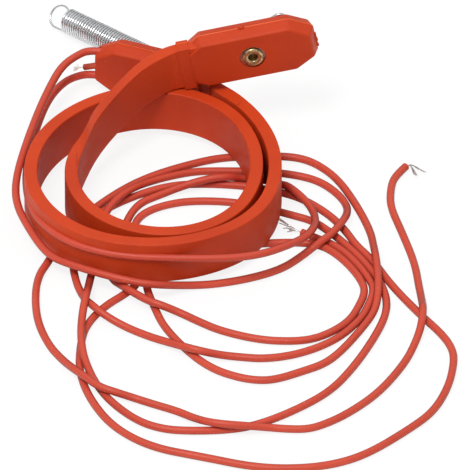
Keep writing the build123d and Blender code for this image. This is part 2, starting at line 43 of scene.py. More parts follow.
# Camera: level view along +Y from 39 degrees up, with a long lens as in the photograph
cameraView = {"target": (0.02007, -0.04109, 0.0), "distance": 6.0, "elevation": 39.0, "lens": 1456.8}
tilt = math.radians(cameraView["elevation"])
away = Vector((0, -math.cos(tilt), math.sin(tilt))) * cameraView["distance"]
bpy.ops.object.camera_add(
    location=Vector(cameraView["target"]) + away, rotation=(math.pi / 2 - tilt, 0, 0)
)
camera = bpy.context.object
camera.data.lens = cameraView["lens"]
bpy.context.scene.camera = camera

# Routes of the two leads in millimetres, from the lead head to their cut ends
upperRoute = [
    (-25.6, 35.4, 14.4), (-31.7, 31.2, 13.9), (-35.4, 26.6, 13.4), (-38.4, 18.7, 12.9),
    (-42, 7.1, 12.3), (-46.3, -9.5, 10.8), (-49.4, -24.2, 8.4), (-48.9, -35.2, 7.2),
    (-44.3, -47.2, 6.3), (-40.3, -55.1, 5.7), (-36.6, -59.8, 5.6), (-30.5, -64.3, 6.4),
    (-20.7, -69.5, 6.8), (-11.1, -72.7, 6.5), (-4.5, -73.2, 5.9), (0.7, -70.9, 3.8),
    (6.8, -67.8, 1.25), (14, -67.2, 1.25), (24.8, -64.4, 1.25), (34.8, -59.7, 1.25),
    (41.1, -53.3, 1.25), (46.2, -49.7, 3.6), (50.5, -45.9, 4.2), (53.9, -39.6, 4.2),
    (55.5, -34, 2.7), (55.5, -28, 1.25), (52.8, -22.2, 1.25), (47.5, -16.2, 1.25),
    (41.3, -13, 1.25), (31.1, -10.8, 1.25), (17, -10.4, 1.25), (7.1, -10.6, 1.25),
    (-1.6, -13.4, 1.25), (-7.4, -16.7, 1.8), (-11.5, -21.6, 3.9), (-16.5, -26.9, 4.4),
    (-21, -33.5, 2.9), (-22.3, -39.1, 1.25), (-23, -46.2, 1.25), (-24.2, -56.3, 1.25),
    (-25.3, -63.6, 1.25), (-25.9, -69.6, 2.7), (-26.5, -76.8, 5.5), (-27.4, -82.3, 4.7),
    (-28, -88, 3.7), (-28.2, -96.3, 4.2), (-27.6, -104.3, 4.2), (-26.1, -109.6, 2.6),
    (-23.6, -116, 1.25), (-18.9, -125.2, 1.25), (-10.6, -134.6, 1.25), (-2.6, -138.7, 1.25),
    (5.7, -139.6, 1.25), (17.2, -139.2, 1.25), (25.9, -137.2, 1.25), (37.1, -130.8, 1.25),
    (49.6, -120.7, 1.25), (57.5, -107.8, 1.25), (64.3, -92.5, 1.25), (67.7, -81.4, 1.25),
    (67.6, -72.6, 1.25), (64.6, -62.6, 1.25), (57.5, -50.8, 1.25), (50.2, -41.2, 1.25),
    (44.6, -35.5, 1.25), (38.1, -32.7, 1.25), (28, -28.4, 1.25), (17.9, -25.8, 1.25),
    (5.7, -25.5, 1.25), (-2.4, -27.7, 1.25), (-8.4, -31.3, 1.25), (-11.5, -36.2, 1.25),
    (-11.9, -42.8, 1.25), (-11.3, -52.8, 1.25), (-10.1, -61.5, 1.25), (-10.7, -67.5, 1.25),
    (-14.5, -72.2, 1.25), (-20.9, -78.2, 1.25), (-26.4, -86.9, 1.25), (-28.4, -96.8, 1.25),
    (-28.7, -111.4, 1.25), (-24.8, -125.2, 1.25), (-17.6, -138.2, 1.25), (-5.8, -147.7, 1.25),
    (9.7, -152.2, 1.25), (26.2, -157.4, 1.25), (40.2, -158, 1.25), (52.1, -155.6, 1.25),
    (62.1, -150.2, 1.25), (74.1, -139, 1.25), (81.9, -130.3, 1.25), (86.6, -118.5, 1.25),
    (88.5, -107.3, 1.25), (88.4, -100, 1.25), (85.2, -92.3, 1.25), (78.1, -82.3, 1.25),
    (69.3, -68, 1.25), (63.5, -55.4, 1.25), (58, -47.5, 1.25), (55.1, -40.7, 1.25),
    (49.9, -32.5, 1.25), (42.2, -25, 1.25), (35, -21.2, 1.25), (23.3, -17.8, 1.25),
    (8.1, -16.7, 1.25), (-2.4, -18.3, 1.25), (-13.6, -24.1, 1.25), (-23.3, -31.7, 1.25),
    (-29.5, -42.5, 1.25), (-31.4, -54.2, 1.25), (-29.9, -66.8, 1.25), (-27.2, -74.9, 1.5),
    (-24.9, -81.2, 4.4), (-21.1, -84.8, 3.3), (-14.5, -88.4, 1.25), (-6.7, -93.3, 1.25),
    (-1.5, -96.4, 1.8), (3.8, -101.3, 3.9), (9.1, -103.8, 4.2), (15.1, -102.9, 1.8),
    (21.2, -103.3, 1.25), (29.8, -104.3, 1.25), (40.8, -101.7, 1.25), (51.9, -94.9, 1.25),
    (59.7, -84.5, 1.25), (62.6, -75.7, 1.25), (63.8, -69.5, 1.25), (62.1, -63.9, 1.25),
    (58.2, -56.4, 1.25), (53.3, -49.4, 1.25), (48.4, -45.7, 1.25), (41.1, -41.3, 1.25),
]
lowerRoute = [
    (-25.6, 35.4, 4.5), (-32, 32.4, 4.9), (-35.8, 27.9, 5.1), (-39.4, 20.4, 5.3), (-42.3, 8.8, 5.7),
    (-45, -7.6, 7.1), (-46.2, -24.8, 9.4), (-44.7, -40.6, 11.2), (-40.8, -50.7, 12.5),
    (-34.4, -58.8, 13), (-27, -63.7, 13), (-14.9, -67.8, 13), (2.5, -68.8, 13), (17.3, -68.8, 13),
    (27, -66.6, 12.5), (33.8, -61.9, 11.2), (41.4, -53.8, 8.7), (44.9, -46.6, 7),
    (45.6, -38.9, 4.9), (44.1, -31.4, 3.5), (40.9, -26.1, 3.8), (36.8, -21.3, 4),
    (34.3, -17.2, 1.25), (28.5, -14.5, 1.25), (22.5, -14.4, 1.25), (18, -17.2, 4.5),
    (12, -17.8, 4.2), (3.4, -19.8, 2.7), (-4, -22.7, 1.25), (-9.1, -25.8, 1.25), (-12.6, -31, 1.25),
    (-15.1, -39.6, 1.25), (-18.1, -50.9, 1.25), (-19.4, -58.9, 1.25), (-18.7, -64.7, 1.25),
    (-15.8, -69.6, 2.9), (-13.2, -74.4, 4.8), (-7.6, -78.7, 4.1), (-2.4, -81.1, 3.8),
    (3.4, -82, 1.4), (8.4, -85.6, 1.25), (15.7, -90.5, 1.25), (27.8, -94.9, 1.25),
    (38, -95.6, 1.25), (44.9, -94.4, 1.25), (51.1, -90.5, 1.25), (56.1, -85.2, 1.25),
    (59.1, -77.9, 1.25), (61, -71, 1.25), (59.9, -65.4, 1.25), (56.4, -58.3, 1.25),
    (51.4, -51.3, 1.25), (46.8, -47.6, 1.25), (41.1, -46.4, 1.25), (33.4, -46.5, 1.25),
    (22.2, -47.5, 1.25), (8.6, -51.3, 1.25), (0.3, -56.1, 1.25), (-5.4, -59.7, 1.25),
    (-8, -65, 1.25), (-7.4, -70.8, 1.25), (-5.4, -78.1, 1.25), (-2.2, -88.7, 1.25),
    (5.8, -101.4, 1.25), (13.1, -109.3, 1.25), (21.5, -113.6, 1.25), (28.5, -115, 1.25),
    (34, -113.9, 1.25), (41.1, -110.4, 1.25), (48.1, -106.7, 1.25), (53.4, -100.4, 1.25),
    (59.6, -89.7, 1.25), (64, -80.7, 1.25), (65.2, -72.8, 3.2), (64.9, -63.2, 4.2),
    (64.3, -56.3, 4.3), (63.8, -50.1, 2.5), (62.8, -40.8, 1.25), (58.6, -27.9, 1.25),
    (52.8, -14.8, 1.25), (46.7, -7.5, 1.25), (41.2, -4, 1.25), (34.8, -2.9, 1.25),
    (24.6, -3.1, 1.25), (14.9, -3.8, 1.25), (4.3, -7.7, 1.25), (-6.4, -12.9, 1.25),
    (-16, -20, 1.25), (-27.6, -32.8, 1.25), (-35.1, -45.6, 1.25), (-38.6, -55.8, 1.25),
    (-41.6, -62.5, 1.25), (-42.8, -72, 1.25), (-42, -85.6, 1.25), (-38.2, -97.7, 1.25),
    (-33.9, -104.8, 1.25), (-30.6, -111.2, 3.2), (-27.3, -116, 4.3), (-22.6, -121.1, 4),
    (-17.4, -123.2, 3.5), (-11.5, -123.6, 1.4), (-5.6, -126.4, 1.25), (1.9, -129.8, 1.25),
    (6.5, -133.4, 1.7), (10.7, -138.1, 3.9), (16.1, -139.9, 4.3), (23.8, -139.8, 3.5),
    (30.4, -138.2, 1.5), (36.8, -138.7, 1.25), (43, -138.7, 1.25), (48.8, -135.9, 1.25),
    (56.1, -130.4, 1.25), (65.2, -120.6, 1.25), (73.2, -106.4, 1.25), (76.7, -95.9, 1.25),
    (78.6, -88.6, 2.5), (79.1, -83.1, 4.4), (78.8, -77, 2.3), (77.9, -68.4, 1.25),
    (76.6, -56.3, 1.25), (72.4, -40.1, 1.25), (69.1, -28.3, 1.25), (69.3, -19.2, 1.25),
    (70.6, -13.1, 1.25), (74.2, -8.1, 1.25),
]
leads = {
    "upperLead": {
        "node": "upper_lead", "start": (-18.49, 32.73, 14.35), "points": upperRoute,
        "length": 1.274, "strandNode": "upper_strands", "bends": ((-6.8, 4.2, 0.6), (-4.6, 0.9, 0.5)),
    },
    "lowerLead": {
        "node": "lower_lead", "start": (-18.49, 32.73, 4.55), "points": lowerRoute,
        "length": 1.114, "strandNode": "lower_strands", "bends": ((3.0, -4.6, 0.1), (5.2, -3.0, 0.4)),
    },
}
leadWire = {"diameter": 0.0025, "sides": 4, "steps": 10}
leadFray = {"count": 14, "spread": 0.0009, "radius": 0.00015, "seed": 5}


def clearSelection():
    bpy.ops.object.select_all(action="DESELECT")


def pick(piece):
    clearSelection()
    piece.select_set(True)
    bpy.context.view_layer.objects.active = piece


def metres(point):
    return Vector(point) / 1000


def smooth(degrees):
    bpy.ops.object.shade_smooth_by_angle(angle=math.radians(degrees))


def copied(source, name):
    piece = bpy.data.objects.new(name, source.data.copy())
    bpy.context.scene.collection.objects.link(piece)
    pick(piece)
    return piece


def placement(origin, xWay, zWay):
    xWay = xWay.normalized()
    zWay = zWay.normalized()
    yWay = zWay.cross(xWay)
    turned = Matrix((xWay, yWay, zWay)).transposed().to_4x4()
    turned.translation = origin
    return turned


def wireCurve(name, lines, radius, sides, steps):
    curve = bpy.data.curves.new(name, "CURVE")
    curve.dimensions = "3D"
    curve.bevel_depth = radius
    curve.bevel_resolution = sides
    curve.resolution_u = steps
    curve.use_fill_caps = True
    for line in lines:
        spline = curve.splines.new("NURBS")
        spline.points.add(len(line) - 1)
        for knot, place in zip(spline.points, line):
            knot.co = (*place, 1)
        spline.order_u = 3
        spline.use_endpoint_u = True
    piece = bpy.data.objects.new(name, curve)
    bpy.context.scene.collection.objects.link(piece)
    return piece


def toMesh(piece):
    pick(piece)
    bpy.ops.object.convert(target="MESH")
    smooth(60)
    return bpy.context.object


# Shape of one bare strand in metres, and as shares of its bend and of the bunch's spread
strandShape = {
    "rootSpread": 0.4, "rootWires": 5, "rootDepth": 0.0008, "neck": 0.0009, "middle": 0.0016,
    "middleBend": 0.3, "middleSpread": 0.25, "droop": 0.3, "shortest": 0.7, "longest": 1.05,
    "curlBend": 0.16, "curlSpread": 0.6, "lowest": 0.0002, "sides": 1, "steps": 5,
}


def frayedEnd(name, start, heading, bends, fray):
    chance = Random(fray["seed"])
    spread = fray["spread"]
    rootSpread = strandShape["rootSpread"]
    side = heading.cross(Vector((0, 0, 1))).normalized()
    lines = []
    for number in range(fray["count"]):
        bend = bends[number % len(bends)]
        across = side * chance.uniform(-spread, spread)
        across += Vector((0, 0, chance.uniform(-strandShape["droop"], 1) * spread))
        rootSide = side * chance.uniform(-rootSpread, rootSpread) * fray["radius"]
        rootSide *= strandShape["rootWires"]
        root = start + rootSide - heading * strandShape["rootDepth"]
        reach = chance.uniform(strandShape["shortest"], strandShape["longest"])
        neck = start + heading * strandShape["neck"]
        middle = start + heading * strandShape["middle"] + bend * strandShape["middleBend"] * reach
        middle += across * strandShape["middleSpread"]
        tip = start + bend * reach + across
        tip.z = max(tip.z, strandShape["lowest"])
        sideways = side * chance.uniform(-spread, spread) * strandShape["curlSpread"]
        curl = tip + (bend * strandShape["curlBend"] + sideways) * reach
        curl.z = max(curl.z, strandShape["lowest"])
        lines.append([root, neck, middle, tip, curl])
    return toMesh(wireCurve(name, lines, fray["radius"], strandShape["sides"], strandShape["steps"]))


# Leads first: limp silicone wire lying in loose loops
leadPieces = {}
endPieces = {}
for order, (name, lead) in enumerate(leads.items()):
    route = [metres(lead["start"])] + [metres(point) for point in lead["points"]]
    line = wireCurve(name + "Line", [route], 0, 0, leadWire["steps"])
    ready = line.evaluated_get(bpy.context.evaluated_depsgraph_get())
    lineMesh = bpy.data.meshes.new_from_object(ready)
    bpy.data.objects.remove(line)
    piece = toMesh(
        wireCurve(name, [route], leadWire["diameter"] / 2, leadWire["sides"], leadWire["steps"])
    )
    heading = (route[-1] - route[-2]).normalized()
    bends = [metres(bend) for bend in lead["bends"]]
    fray = {**leadFray, "seed": leadFray["seed"] + order}
    strands = frayedEnd(name + "Strands", route[-1], heading, bends, fray)
    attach(piece, "belt")
    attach(strands, "belt")
    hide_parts(lead["node"])
    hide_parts(lead["strandNode"])
    leadPieces[name] = piece
    endPieces[name] = strands
print("leads laid")


# Shader groups that several finishes share
def newGroup(name, inputs, outputs):
    group = bpy.data.node_groups.new(name, "ShaderNodeTree")
    for socket, kind, value in inputs:
        made = group.interface.new_socket(socket, in_out="INPUT", socket_type=kind)
        made.default_value = value
    for socket, kind in outputs:
        group.interface.new_socket(socket, in_out="OUTPUT", socket_type=kind)
    entry = group.nodes.new("NodeGroupInput")
    leave = group.nodes.new("NodeGroupOutput")
    return group, entry, leave


def noise(group, place, scale, detail):
    node = group.nodes.new("ShaderNodeTexNoise")
    node.inputs["Scale"].default_value = scale
    node.inputs["Detail"].default_value = detail
    group.links.new(place, node.inputs["Vector"])
    return node.outputs["Fac"]


def ramp(group, value, low, high):
    node = group.nodes.new("ShaderNodeMapRange")
    node.inputs["From Min"].default_value = low
    node.inputs["From Max"].default_value = high
    group.links.new(value, node.inputs["Value"])
    return node.outputs["Result"]


def blend(group, kind, factor, first, second):
    node = group.nodes.new("ShaderNodeMix")
    node.data_type = kind
    group.links.new(factor, node.inputs["Factor"])
    group.links.new(first, node.inputs["A"])
    group.links.new(second, node.inputs["B"])
    return node.outputs["Result"]


def patches(group, place, look):
    return ramp(group, noise(group, place, look["scale"], look["detail"]), look["from"], look["to"])


def grain(group, place, look):
    node = group.nodes.new("ShaderNodeBump")
    node.inputs["Strength"].default_value = look["strength"]
    node.inputs["Distance"].default_value = look["height"]
    group.links.new(noise(group, place, look["scale"], look["detail"]), node.inputs["Height"])
    return node.outputs["Normal"]


surfaceOutputs = [
    ("Colour", "NodeSocketColor"), ("Roughness", "NodeSocketFloat"), ("Normal", "NodeSocketVector"),
]
rubberLook = {
    "flow": {"scale": 45, "detail": 4, "from": 0.35, "to": 0.7},
    "dust": {"scale": 900, "detail": 4, "from": 0.66, "to": 0.8},
    "sheen": {"scale": 160, "detail": 3, "from": 0.3, "to": 0.7},
    "grain": {"scale": 2600, "detail": 2, "strength": 0.35, "height": 0.00006},
    # Painted shade at the silhouette: it starts and ends at these shares of the surface's turn away
    # from the camera
    "paintedShadeFrom": 0.45, "paintedShadeTo": 0.85,
}


def makeRubberGroup():
    group, entry, leave = newGroup(
        "moulded silicone",
        [
            ("Colour", "NodeSocketColor", (0.6, 0.08, 0.03, 1)),
            ("Flow colour", "NodeSocketColor", (0.5, 0.06, 0.02, 1)),
            ("Dust colour", "NodeSocketColor", (0.7, 0.3, 0.2, 1)),
            ("Satin", "NodeSocketFloat", 0.42),
            ("Dull", "NodeSocketFloat", 0.6),
            # Strength and dark colour of the painted shade that darkens edges turning away from the
            # camera
            ("Painted edge shade", "NodeSocketFloat", 0.0),
            ("Painted edge shade colour", "NodeSocketColor", (0.13, 0.015, 0.012, 1)),
        ],
        surfaceOutputs,
    )
    given = entry.outputs
    place = group.nodes.new("ShaderNodeTexCoord").outputs["Object"]
    flow = patches(group, place, rubberLook["flow"])
    dust = patches(group, place, rubberLook["dust"])
    sheen = patches(group, place, rubberLook["sheen"])
    colour = blend(group, "RGBA", flow, given["Colour"], given["Flow colour"])
    colour = blend(group, "RGBA", dust, colour, given["Dust colour"])
    # Painted shade: the colour is mixed towards a dark red where the surface turns away from the
    # camera, so that edges look shaded
    facing = group.nodes.new("ShaderNodeLayerWeight").outputs["Facing"]
    paintedEdgeShade = group.nodes.new("ShaderNodeMath")
    paintedEdgeShade.operation = "MULTIPLY"
    turned = ramp(group, facing, rubberLook["paintedShadeFrom"], rubberLook["paintedShadeTo"])
    group.links.new(turned, paintedEdgeShade.inputs[0])
    group.links.new(given["Painted edge shade"], paintedEdgeShade.inputs[1])
    colour = blend(group, "RGBA", paintedEdgeShade.outputs[0], colour, given["Painted edge shade colour"])
    rough = blend(group, "FLOAT", sheen, given["Satin"], given["Dull"])
    group.links.new(colour, leave.inputs["Colour"])
    group.links.new(rough, leave.inputs["Roughness"])
    group.links.new(grain(group, place, rubberLook["grain"]), leave.inputs["Normal"])
    return group


metalLook = {
    "spots": {"scale": 1400, "detail": 4, "from": 0.48, "to": 0.62},
    "grain": {"scale": 3000, "detail": 3, "strength": 0.4, "height": 0.00004},
}


def makeMetalGroup():
    group, entry, leave = newGroup(
        "worn metal",
        [
            ("Colour", "NodeSocketColor", (0.6, 0.6, 0.6, 1)),
            ("Tarnish", "NodeSocketColor", (0.3, 0.28, 0.25, 1)),
            ("Bright", "NodeSocketFloat", 0.25),
            ("Dull", "NodeSocketFloat", 0.5),
        ],
        surfaceOutputs,
    )
    given = entry.outputs
    place = group.nodes.new("ShaderNodeTexCoord").outputs["Object"]
    spots = patches(group, place, metalLook["spots"])
    colour = blend(group, "RGBA", spots, given["Colour"], given["Tarnish"])
    rough = blend(group, "FLOAT", spots, given["Bright"], given["Dull"])
    group.links.new(colour, leave.inputs["Colour"])
    group.links.new(rough, leave.inputs["Roughness"])
    group.links.new(grain(group, place, metalLook["grain"]), leave.inputs["Normal"])
    return group


rubberGroup = makeRubberGroup()
metalGroup = makeMetalGroup()


def finishFrom(name, group, values, metallic, specular):
    material = bpy.data.materials.new(name)
    material.use_nodes = True
    tree = material.node_tree
    shader = tree.nodes["Principled BSDF"]
    shader.inputs["Metallic"].default_value = metallic
    shader.inputs["Specular IOR Level"].default_value = specular
    surface = tree.nodes.new("ShaderNodeGroup")
    surface.node_tree = group
    for socket, value in values.items():
        surface.inputs[socket].default_value = value
    tree.links.new(surface.outputs["Colour"], shader.inputs["Base Color"])
    tree.links.new(surface.outputs["Roughness"], shader.inputs["Roughness"])
    tree.links.new(surface.outputs["Normal"], shader.inputs["Normal"])
    return material


# The last weight sets how strongly painted shade darkens the edges that turn away from the camera
def rubber(name, colour, flow, dust, satin, dull, paintedEdgeShade=0.0):
    values = {
        "Colour": (*colour, 1), "Flow colour": (*flow, 1), "Dust colour": (*dust, 1),
        "Satin": satin, "Dull": dull, "Painted edge shade": paintedEdgeShade,
    }
    return finishFrom(name, rubberGroup, values, metallic=0.0, specular=0.25)


def metal(name, colour, tarnish, bright, dull):
    values = {"Colour": (*colour, 1), "Tarnish": (*tarnish, 1), "Bright": bright, "Dull": dull}
    return finishFrom(name, metalGroup, values, metallic=1.0, specular=0.5)


finishes = {
    "strap": rubber(
        "strap silicone", (0.58, 0.051, 0.007), (0.50, 0.040, 0.006), (0.60, 0.09, 0.035), 0.46, 0.6,
    ),
    "head": rubber(
        "head silicone", (0.55, 0.047, 0.007), (0.47, 0.036, 0.006), (0.60, 0.10, 0.04), 0.5, 0.65,
    ),
    "flash": rubber(
        "flash silicone", (0.74, 0.12, 0.03), (0.66, 0.09, 0.02), (0.78, 0.18, 0.08), 0.35, 0.5,
    ),
    # The leads carry painted shade that darkens their edges where they turn away from the camera
    "lead": rubber(
        "lead silicone", (0.58, 0.072, 0.040), (0.52, 0.062, 0.034), (0.64, 0.14, 0.09), 0.34, 0.46,
        paintedEdgeShade=0.75,
    ),
    "tail": rubber(
        "tail silicone", (0.60, 0.10, 0.05), (0.52, 0.08, 0.04), (0.7, 0.25, 0.18), 0.5, 0.65,
    ),
    "brass": metal("rolled brass", (0.62, 0.47, 0.24), (0.26, 0.19, 0.10), 0.28, 0.5),
    "washer": metal("washer steel", (0.62, 0.60, 0.55), (0.38, 0.34, 0.28), 0.35, 0.55),
    "springWire": metal("spring wire", (0.74, 0.75, 0.76), (0.62, 0.62, 0.63), 0.12, 0.22),
    "hookWire": metal("hook wire", (0.66, 0.66, 0.66), (0.42, 0.42, 0.42), 0.25, 0.45),
    "strands": metal("tinned strands", (0.70, 0.69, 0.67), (0.56, 0.53, 0.50), 0.35, 0.5),
    "splice": metal("splice metal", (0.62, 0.52, 0.34), (0.4, 0.33, 0.22), 0.3, 0.5),
    "fibre": rubber(
        "glass fibres", (0.80, 0.74, 0.66), (0.70, 0.62, 0.55), (0.85, 0.8, 0.74), 0.5, 0.7,
    ),
    "core": rubber(
        "heating cord yarn", (0.72, 0.70, 0.66), (0.6, 0.58, 0.54), (0.8, 0.78, 0.72), 0.6, 0.8,
    ),
}


def wear(piece, finish):
    piece.data.materials.clear()
    piece.data.materials.append(finishes[finish])


for name in leads:
    wear(leadPieces[name], "lead")
    wear(endPieces[name], "strands")

kept = {
    "heating_cord": "core", "lead_rivet": "brass", "lead_washer": "washer", "eyelet_rivet": "brass",
    "eyelet_washer": "washer", "upper_splice": "splice", "lower_splice": "splice", "core_tail": "tail",
    "closure_hook": "hookWire",
}
for node, finish in kept.items():
    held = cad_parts[node]
    for socket in held.material_slots:
        socket.material = finishes[finish]
print("finishes given")


# Silicone parts: the CAD shapes with the soft edges that moulding and extruding leave
softEdges = {
    "strap": {
        "piece": "strapBelt", "radius": 0.00045, "segments": 3,
        "finish": "strap", "slot": "strap_silicone",
    },
    "lead_head": {
        "piece": "leadHead", "radius": 0.0007, "segments": 4, "finish": "head",
        "slot": "head_silicone", "from": (10.912, 16.6, 0), "towards": (-0.729, 0.6845, 0),
    },
    "eyelet_head": {
        "piece": "eyeletHead", "radius": 0.0007, "segments": 4, "finish": "head",
        "slot": "head_silicone", "from": (6.7485, 9.3976, 26.6934),
        "towards": (0.98045, 0.08578, 0.17708),
    },
}
# Angles in degrees, lengths in metres: the thin collar and very short edges stay sharp
edgeRules = {
    "bend": 18, "collar": 0.0016, "shortest": 0.0012, "merge": 0.000002, "flat": 0.5,
    "smooth": 32, "evenness": 90,
}


def mergeFlats():
    bpy.ops.object.mode_set(mode="EDIT")
    bpy.ops.mesh.select_all(action="SELECT")
    bpy.ops.mesh.remove_doubles(threshold=edgeRules["merge"])
    bpy.ops.mesh.dissolve_limited(angle_limit=math.radians(edgeRules["flat"]))
    bpy.ops.object.mode_set(mode="OBJECT")


def weighEdges(piece, sizes):
    shape = bmesh.new()
    shape.from_mesh(piece.data)
    weight = shape.edges.layers.float.new("bevel_weight_edge")
    for edge in shape.edges:
        if len(edge.link_faces) != 2:
            continue
        if edge.calc_face_angle() < math.radians(edgeRules["bend"]):
            continue
        if "from" in sizes:
            start = metres(sizes["from"])
            past = min((corner.co - start).dot(Vector(sizes["towards"])) for corner in edge.verts)
            if past < edgeRules["collar"] or edge.calc_length() < edgeRules["shortest"]:
                continue
        edge[weight] = 1
    shape.to_mesh(piece.data)
    shape.free()


def softened(node, sizes):
    piece = copied(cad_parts[node], sizes["piece"])
    mergeFlats()
    weighEdges(piece, sizes)
    edge = piece.modifiers.new("soft edges", "BEVEL")
    edge.width = sizes["radius"]
    edge.segments = sizes["segments"]
    edge.limit_method = "WEIGHT"
    edge.use_clamp_overlap = False
    bpy.ops.object.modifier_apply(modifier=edge.name)
    smooth(edgeRules["smooth"])
    even = piece.modifiers.new("even shading", "WEIGHTED_NORMAL")
    even.weight = edgeRules["evenness"]
    even.keep_sharp = True
    bpy.ops.object.modifier_apply(modifier=even.name)
    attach(piece, "belt")
    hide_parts(node)
    wear(piece, sizes["finish"])
    return piece


silicone = {node: softened(node, sizes) for node, sizes in softEdges.items()}
print("silicone parts softened")

# Moulding marks on the heads, in millimetres
marks = {
    "origin": (6.387, 13.532, 26.693), "along": (0.98045, 0.08578, 0.17708),
    "back": (-0.08716, 0.99620, 0.0), "ridge": 0.2, "leadRidgeAbove": 18.86, "leadRidgeSunk": 0.12,
    "blobAlong": 17.6, "blobUp": 9.5, "blob": (1.1, 0.75, 0.65),
    "finAlong": 39.5, "finUp": -0.9, "fin": (2.4, 5.4), "finThick": 0.7,
    "tearFrom": 0.5, "tearDeep": 0.5, "tearWide": 0.2, "seed": 12,
}
headAlong = Vector(marks["along"]).normalized()
headBack = Vector(marks["back"]).normalized()
headUp = headAlong.cross(headBack)


def ridgeFrom(name, piece):
    pick(piece)
    bpy.ops.object.convert(target="CURVE")
    ridge = bpy.context.object
    ridge.name = name
    ridge.data.bevel_depth = marks["ridge"] / 1000
    ridge.data.bevel_resolution = 1
    return dressedMark(toMesh(ridge), "flash")


def dressedMark(piece, finish="head"):
    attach(piece, "belt")
    wear(piece, finish)
    return piece


def onEyeletHead(along, up):
    return metres(marks["origin"]) + headAlong * along / 1000 + headUp * up / 1000


section = copied(silicone["eyelet_head"], "eyeletSection")
bpy.ops.object.mode_set(mode="EDIT")
bpy.ops.mesh.select_all(action="SELECT")
bpy.ops.mesh.bisect(
    plane_co=metres(marks["origin"]), plane_no=headBack, clear_inner=True, clear_outer=True
)
bpy.ops.object.mode_set(mode="OBJECT")
ridgeFrom("eyeletPartingRidge", section)

crest = copied(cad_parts["lead_head"], "leadCrest")
mergeFlats()
shape = bmesh.new()
shape.from_mesh(crest.data)
low = [corner for corner in shape.verts if corner.co.z < marks["leadRidgeAbove"] / 1000]
bmesh.ops.delete(shape, geom=low, context="VERTS")
bmesh.ops.delete(shape, geom=list(shape.faces), context="FACES_ONLY")
shape.to_mesh(crest.data)
shape.free()
crest.data.transform(Matrix.Translation((0, 0, -marks["leadRidgeSunk"] / 1000)))
ridgeFrom("leadPartingRidge", crest)

bpy.ops.mesh.primitive_uv_sphere_add(segments=20, ring_count=12, radius=0.001)
blob = bpy.context.object
blob.name = "eyeletFlashBlob"
blob.data.transform(Matrix.Diagonal((*marks["blob"], 1)))
blobPlace = onEyeletHead(marks["blobAlong"], marks["blobUp"])
blob.data.transform(placement(blobPlace, headAlong, headUp))
bpy.ops.object.shade_smooth()
dressedMark(blob)

chance = Random(marks["seed"])
tearDeep = marks["tearDeep"] / 1000
tearWide = marks["tearWide"] / 1000
bpy.ops.mesh.primitive_grid_add(x_subdivisions=3, y_subdivisions=9, size=0.001)
fin = bpy.context.object
fin.name = "eyeletGateFin"
fin.data.transform(Matrix.Diagonal((*marks["fin"], 1, 1)))
for corner in fin.data.vertices:
    if corner.co.x > marks["tearFrom"] / 1000:
        corner.co.x += chance.uniform(-tearDeep, 0.0)
        corner.co.z += chance.uniform(-tearWide, tearWide)
finPlace = onEyeletHead(marks["finAlong"], marks["finUp"])
fin.data.transform(placement(finPlace, headAlong, headAlong.cross(headUp)))
thick = fin.modifiers.new("torn skin", "SOLIDIFY")
thick.thickness = marks["finThick"] / 1000
thick.offset = 0
pick(fin)
bpy.ops.object.modifier_apply(modifier=thick.name)
smooth(40)
dressedMark(fin)
print("moulding marks added")

# Closing spring: close-wound wire and a full loop at each end, in millimetres
springSizes = {
    "wire": 0.36, "coil": 3.725, "loop": 3.675, "turns": 38, "pitch": 0.99342, "reach": 4.655,
    "start": (-5.5064, 36.5809, 8.1667), "along": (-0.7302, 0.6762, -0.0983),
    "across": (0.6794, 0.7337, 0.0), "nearLoop": (-2.6587, 33.9439, 8.55),
    "farLoop": (-35.9183, 64.7426, 4.0735), "farRoll": -45.0, "loopSweep": 300.0,
    "sides": 10, "steps": 30,
}


def turnedWire(name, radius, wire, degreesTurned, climb, rounds, where):
    bpy.ops.mesh.primitive_circle_add(
        vertices=springSizes["sides"], radius=wire, location=(radius, 0, 0),
        rotation=(math.pi / 2, 0, 0),
    )
    piece = bpy.context.object
    piece.name = name
    bpy.ops.object.transform_apply(location=True, rotation=True, scale=True)
    winding = piece.modifiers.new("winding", "SCREW")
    winding.angle = math.radians(degreesTurned)
    winding.screw_offset = climb
    winding.iterations = rounds
    winding.steps = springSizes["steps"]
    winding.render_steps = springSizes["steps"]
    winding.axis = "Z"
    bpy.ops.object.modifier_apply(modifier=winding.name)
    closeEnds(piece)
    piece.data.transform(where)
    return piece


def closeEnds(piece):
    pick(piece)
    bpy.ops.object.mode_set(mode="EDIT")
    bpy.ops.mesh.select_all(action="SELECT")
    bpy.ops.mesh.fill_holes(sides=0)
    bpy.ops.mesh.normals_make_consistent(inside=False)
    bpy.ops.object.mode_set(mode="OBJECT")


def straightWire(name, first, last, wire):
    run = last - first
    bpy.ops.mesh.primitive_cylinder_add(
        vertices=springSizes["sides"], radius=wire, depth=run.length
    )
    piece = bpy.context.object
    piece.name = name
    turned = run.to_track_quat("Z", "Y").to_matrix().to_4x4()
    turned.translation = (first + last) / 2
    piece.data.transform(turned)
    return piece


def joined(name, parts):
    clearSelection()
    for part in parts:
        part.select_set(True)
    bpy.context.view_layer.objects.active = parts[0]
    bpy.ops.object.join()
    piece = bpy.context.object
    piece.name = name
    smooth(50)
    return piece


